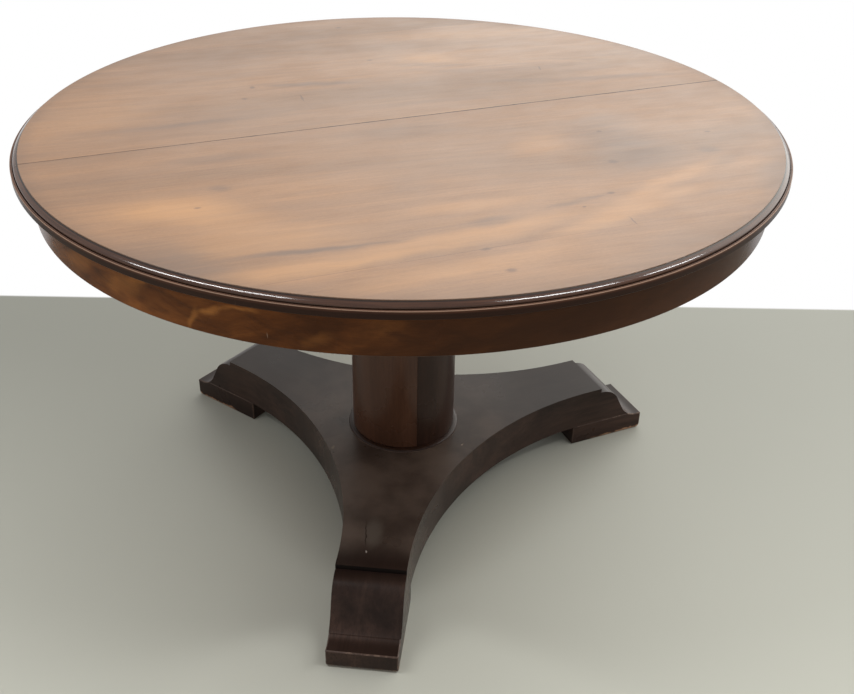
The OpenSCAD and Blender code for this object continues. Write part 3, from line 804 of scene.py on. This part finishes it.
# Distances from the axis where the pale haze of dust and painted sheen on each arm's top fades out
ARM_DUST_AND_SHEEN = [(0.08, 0.34), (0.08, 0.34), (0.36, 0.42)]
RIM_LINES = [
    (TOP_R - MOULD_W + 0.0002, TOP_Z - 0.0008, 0.0034, 0.95, (0.010, 0.005, 0.004)),
    (TOP_R - LIP_W - 0.0006, TOP_UNDER + RIM_H - 0.0004, 0.0022, 0.85, (0.012, 0.006, 0.004)),
    (TOP_R - 0.0006, TOP_UNDER + RIM_H - 0.0004, 0.0009, 0.60, (0.40, 0.27, 0.19)),
    (TOP_R - 0.0030, TOP_UNDER + RIM_H, 0.0007, 0.40, (0.22, 0.13, 0.09)),
    # Painted shade: this ring draws the upright rim under the lip much darker.
    (TOP_R, TOP_UNDER + 0.004, 0.0085, 0.92, (0.020, 0.0078, 0.0045)),
]
roll = edge_wood("roll_mahogany", (0.042, 0.017, 0.010), (0.105, 0.046, 0.026), 0.07, 0.0, 0.55, RIM_LINES)
rim = edge_wood("rim_mahogany", RIM_DARK, RIM_LIGHT, 0.32, 0.0, 0.12, RIM_LINES)
# Near-black painted shade for the quirk's upright face at the head of each arm's ogee.
quirk_shade = edge_wood("quirk_painted_shade", (0.004, 0.002, 0.002), (0.007, 0.004, 0.003), 0.5, 0.0, 0.2)
worn_dark = edge_wood("worn_edge", BASE_MID, (0.06, 0.032, 0.024), 0.32, 0.7, 0.35)
apron = apron_wood("apron_mahogany")
column_light = dark_wood("column_mahogany_light", 0.0, (0.060, 0.0260, 0.0150), (0.084, 0.0370, 0.0215),
                         (0.105, 0.0470, 0.0270), True, 0.24, 0.36)
column_dark = dark_wood("column_mahogany_dark", 0.0, (0.026, 0.0128, 0.0090), (0.042, 0.0200, 0.0135),
                        (0.060, 0.0290, 0.0190), True, 0.26, 0.26)
pine_up = plain_wood("pine_upright", (0.36, 0.22, 0.115), (0.56, 0.39, 0.22), "Z")
pine = plain_wood("pine", (0.36, 0.22, 0.115), (0.56, 0.39, 0.22), "X")
oak = plain_wood("oak", (0.20, 0.115, 0.058), (0.34, 0.21, 0.115), "Y", 0.5)
iron = metal("iron", (0.03, 0.028, 0.027), (0.09, 0.083, 0.078), 0.55, 0.6)
steel = metal("screw_steel", (0.16, 0.15, 0.14), (0.40, 0.38, 0.35), 0.4, 0.35)
HIDDEN_FINISH = {"pine": pine, "oak": oak, "iron": iron, "screw_steel": steel}

# ---------------------------------------------------------------- the top's boards
FIGURE_SEEDS = {"front_inner": 3.1, "front_outer": 17.4, "back_inner": 8.7, "back_outer": 25.2}
for half, side in (("front", -1), ("back", 1)):
    body = half + "_half"
    for kind, low, high in (("inner", SEAM_Y, JOINT_Y), ("outer", JOINT_Y, TOP_R)):
        seed = FIGURE_SEEDS[f"{half}_{kind}"]
        piece = board(f"{half}_{kind}_top", side, low, high)
        dress(piece, top_wood(f"top_{half}_{kind}", seed), roll, rim)
        ease(piece, 0.0005, 2, 40)
        stand_for(piece, f"{half}_{kind}_board", body)
    veneer = ring_piece(f"{half}_apron",
                        [(APRON_R - APRON_T, APRON_LOW.z), (APRON_R, APRON_LOW.z), (APRON_R, APRON_HIGH.z),
                         (APRON_R - APRON_T, APRON_HIGH.z)],
                        [((0, side * SEAM_Y, 0), (0, -side, 0))])
    dress(veneer, apron, worn_dark)
    ease(veneer, 0.0006, 2, 40, 1)
    stand_for(veneer, f"{half}_apron_veneer", body)

# ---------------------------------------------------------------- the column
across = Vector((-math.sin(COLUMN_JOINT), math.cos(COLUMN_JOINT), 0))
for half, sign in (("front", 1), ("back", -1)):
    inner_r = COLUMN_R - COLUMN_VENEER_T
    sheet = ring_piece(f"column_{half}",
                       [(inner_r, COLUMN_LOW.z), (COLUMN_R, COLUMN_LOW.z), (COLUMN_R, COLUMN_HIGH.z),
                        (inner_r, COLUMN_HIGH.z)],
                       [(across * -0.0001 * sign, across * sign)], 360)
    dress(sheet, column_light if half == "front" else column_dark)
    ease(sheet, 0.0003, 2, 40)
    stand_for(sheet, f"column_veneer_{half}", "pedestal")

# ---------------------------------------------------------------- the platform
cutter = centre_cutter()
for k in range(ARM_COUNT):
    direction = BASE_TURN + math.tau * k / ARM_COUNT
    marks = ()
    if k == 2:
        marks = ((-0.165, -0.300, 0.050, 0.022, 66, (0.100, 0.082, 0.068)),
                 (-0.192, -0.341, 0.005, 0.0022, 80, (0.55, 0.50, 0.46)),
                 (-0.178, -0.298, 0.045, 0.0018, 71, (0.012, 0.006, 0.005)),
                 (-0.160, -0.040, 0.009, 0.004, 60, (0.20, 0.15, 0.11)),
                 (-0.164, -0.055, 0.003, 0.003, 0, (0.008, 0.005, 0.004)))
    elif k == 0:
        marks = ((0.072, -0.124, 0.016, 0.0022, 40, (0.48, 0.38, 0.28)),)
    wood = dark_wood(f"base_mahogany_{k + 1}", direction, BASE_DARK, BASE_MID, BASE_LIGHT, marks=marks,
                     dust_and_sheen=ARM_DUST_AND_SHEEN[k], bare=BARE_FEET[k])
    piece = arm(f"platform_arm_{k + 1}", direction)
    dress(piece, wood, worn_dark, quirk_shade)
    ease(piece, 0.0011, 3, 40, 1, True)
    cut_away(piece, cutter)
    apply_modifiers(piece)
    soften(piece, 35)
    stand_for(piece, f"base_arm_{k + 1}", "pedestal")
    block = foot_block(f"foot_{k + 1}", direction)
    dress(block, wood, worn_dark)
    ease(block, 0.0022, 3, 40, 1)
    soften(block, 35)
    stand_for(block, f"foot_block_{k + 1}", "pedestal")
bpy.data.objects.remove(cutter)

bead_r, bead_in = BEAD_HIGH.x, COLUMN_R + 0.0001
bead_outline = [(bead_in, BEAD_LOW.z)]
for k in range(9):
    a = math.pi / 2 * k / 8
    bead_outline.append((bead_in + (bead_r - bead_in) * math.cos(a),
                         BEAD_LOW.z + (BEAD_HIGH.z - BEAD_LOW.z) * math.sin(a)))
bead = ring_piece("column_foot_bead", bead_outline, [], 360)
BEAD_LINES = [(bead_r, BEAD_LOW.z, 0.0010, 0.6, (0.24, 0.17, 0.13))]
dress(bead, edge_wood("bead_mahogany", (0.020, 0.009, 0.006), (0.040, 0.018, 0.012), 0.30,
                      specular=0.25, lines=BEAD_LINES))
stand_for(bead, "column_bead", "pedestal")

# ---------------------------------------------------------------- hidden pieces keep their CAD shape
slots = {s["node"]: s["material_slot"] for s in frame["record"]["subparts"]}
for node, obj in frame["nodes"].items():
    if obj.hide_render or slots[node] not in HIDDEN_FINISH:
        continue
    finish = pine_up if node.startswith("column_stave") else HIDDEN_FINISH[slots[node]]
    dress(obj, finish)

# ---------------------------------------------------------------- floor, light and camera
VIEW_TURN = math.radians(-21.55)
back = Vector((-math.sin(VIEW_TURN), math.cos(VIEW_TURN), 0))
# Distance behind the table where the floor ends against the white background
FLOOR_END = 0.692
# Long ceiling lights: name, start, end, radiance
LIGHT_WIDTH = 0.13
LIGHTS = [
    ("left_light", (-2.30, 0.54, 2.5), (-1.16, -0.73, 2.5), 29.0),
    ("right_light", (0.31, -1.33, 2.5), (1.35, -1.33, 2.5), 36.0),
    ("far_right_light", (1.74, -1.22, 2.5), (2.68, -0.95, 2.5), 29.0),
]


def floor():
    bm = bmesh.new()
    bmesh.ops.create_grid(bm, x_segments=1, y_segments=1, size=30.0)
    obj = new_object("floor", bm)
    mat, g = material("floor")
    pos = g.position()
    depth = g.dot(pos, tuple(back))
    aside = g.dot(pos, (back.y, -back.x, 0))
    white = g.span(depth, FLOOR_END, FLOOR_END + 0.010)
    grey = g.mix(g.noise(pos, 1.3, 3.0), (0.40, 0.405, 0.355), (0.44, 0.445, 0.392))
    # Painted light and shade: the floor's grey is scaled brighter towards the front and darker towards the
    # back, most on the left.
    left = g.span(depth, -1.5, 0.6, 1.78, 0.64)
    right = g.span(depth, -1.5, 0.6, 1.36, 0.86)
    level = g.math("ADD", g.math("MULTIPLY", left, g.span(aside, -0.8, 0.4, 1.0, 0.0)),
                   g.math("MULTIPLY", right, g.span(aside, -0.8, 0.4, 0.0, 1.0)))
    grey = g.mix(1.0, grey, g.join(level, level, level), "MULTIPLY")
    shader = g.node("BsdfPrincipled", {"Base Color": grey, "Roughness": 0.6})
    glow = g.node("Emission", {"Color": (1.0, 1.0, 1.0), "Strength": 1.0})
    both = g.node("MixShader", {0: white})
    g.tree.links.new(shader.outputs[0], both.inputs[1])
    g.tree.links.new(glow.outputs[0], both.inputs[2])
    out = g.node("OutputMaterial")
    g.tree.links.new(both.outputs[0], out.inputs[0])
    dress(obj, mat)


def soft_box(name, start, end, width, radiance, target=(0, 0, 0.7)):
    """A long soft light between two points, turned to face the table."""
    a, b = Vector(start), Vector(end)
    long_way = (b - a).normalized()
    away = ((a + b) / 2 - Vector(target)).normalized()
    across = away.cross(long_way).normalized()
    face = long_way.cross(across).normalized()
    light = bpy.data.lights.new(name, "AREA")
    light.shape = "RECTANGLE"
    light.size = (b - a).length
    light.size_y = width
    light.energy = radiance * math.pi * light.size * width
    obj = bpy.data.objects.new(name, light)
    bpy.context.scene.collection.objects.link(obj)
    turn = Matrix((long_way, across, face)).transposed()
    obj.matrix_world = Matrix.Translation((a + b) / 2) @ turn.to_4x4()


def sky_patch(g, way, azimuth, elevation, inner, outer):
    """1 inside `inner` degrees from a direction, fading to 0 at `outer` degrees."""
    a, e = math.radians(azimuth), math.radians(elevation)
    middle = (math.cos(e) * math.cos(a), math.cos(e) * math.sin(a), math.sin(e))
    return g.span(g.dot(way, middle), math.cos(math.radians(outer)), math.cos(math.radians(inner)))


def studio():
    """Pale surroundings: brightest to the right behind the table, dim behind the camera."""
    world = bpy.data.worlds.new("studio")
    bpy.context.scene.world = world
    world.use_nodes = True
    g = Graph(world.node_tree)
    way = g.node("TexCoord").outputs["Generated"]
    facing = g.dot(way, tuple(back))
    tint = g.mix(g.span(facing, -0.5, 0.4), (0.52, 0.51, 0.50), (0.58, 0.57, 0.56))
    tint = g.mix(sky_patch(g, way, 32, 22, 8, 62), tint, (2.3, 2.27, 2.16))
    seen = g.node("LightPath").outputs["Is Camera Ray"]
    tint = g.mix(seen, tint, (1.0, 1.0, 1.0))
    glow = g.node("Background", {"Color": tint, "Strength": 1.0})
    out = g.node("OutputWorld")
    g.tree.links.new(glow.outputs[0], out.inputs[0])


def camera():
    """The photograph's viewpoint: place, heading, tilt and roll of a 45.6 mm lens."""
    tilt, roll = math.radians(32.08), math.radians(0.97)
    forward = back * math.cos(tilt) - Vector((0, 0, math.sin(tilt)))
    level = Vector((math.cos(VIEW_TURN), math.sin(VIEW_TURN), 0))
    up = level.cross(forward)
    right = level * math.cos(roll) + up * math.sin(roll)
    up = right.cross(forward)
    data = bpy.data.cameras.new("camera")
    data.sensor_width = 36.0
    data.lens = 45.56
    obj = bpy.data.objects.new("camera", data)
    bpy.context.scene.collection.objects.link(obj)
    turn = Matrix((right, up, -forward)).transposed()
    obj.matrix_world = Matrix.Translation((-0.6071, -1.6599, 1.4075)) @ turn.to_4x4()
    bpy.context.scene.camera = obj


floor()
studio()
for name, start, end, radiance in LIGHTS:
    soft_box(name, start, end, LIGHT_WIDTH, radiance)
camera()
bpy.context.scene.view_settings.view_transform = "Standard"

bpy.context.view_layer.update()
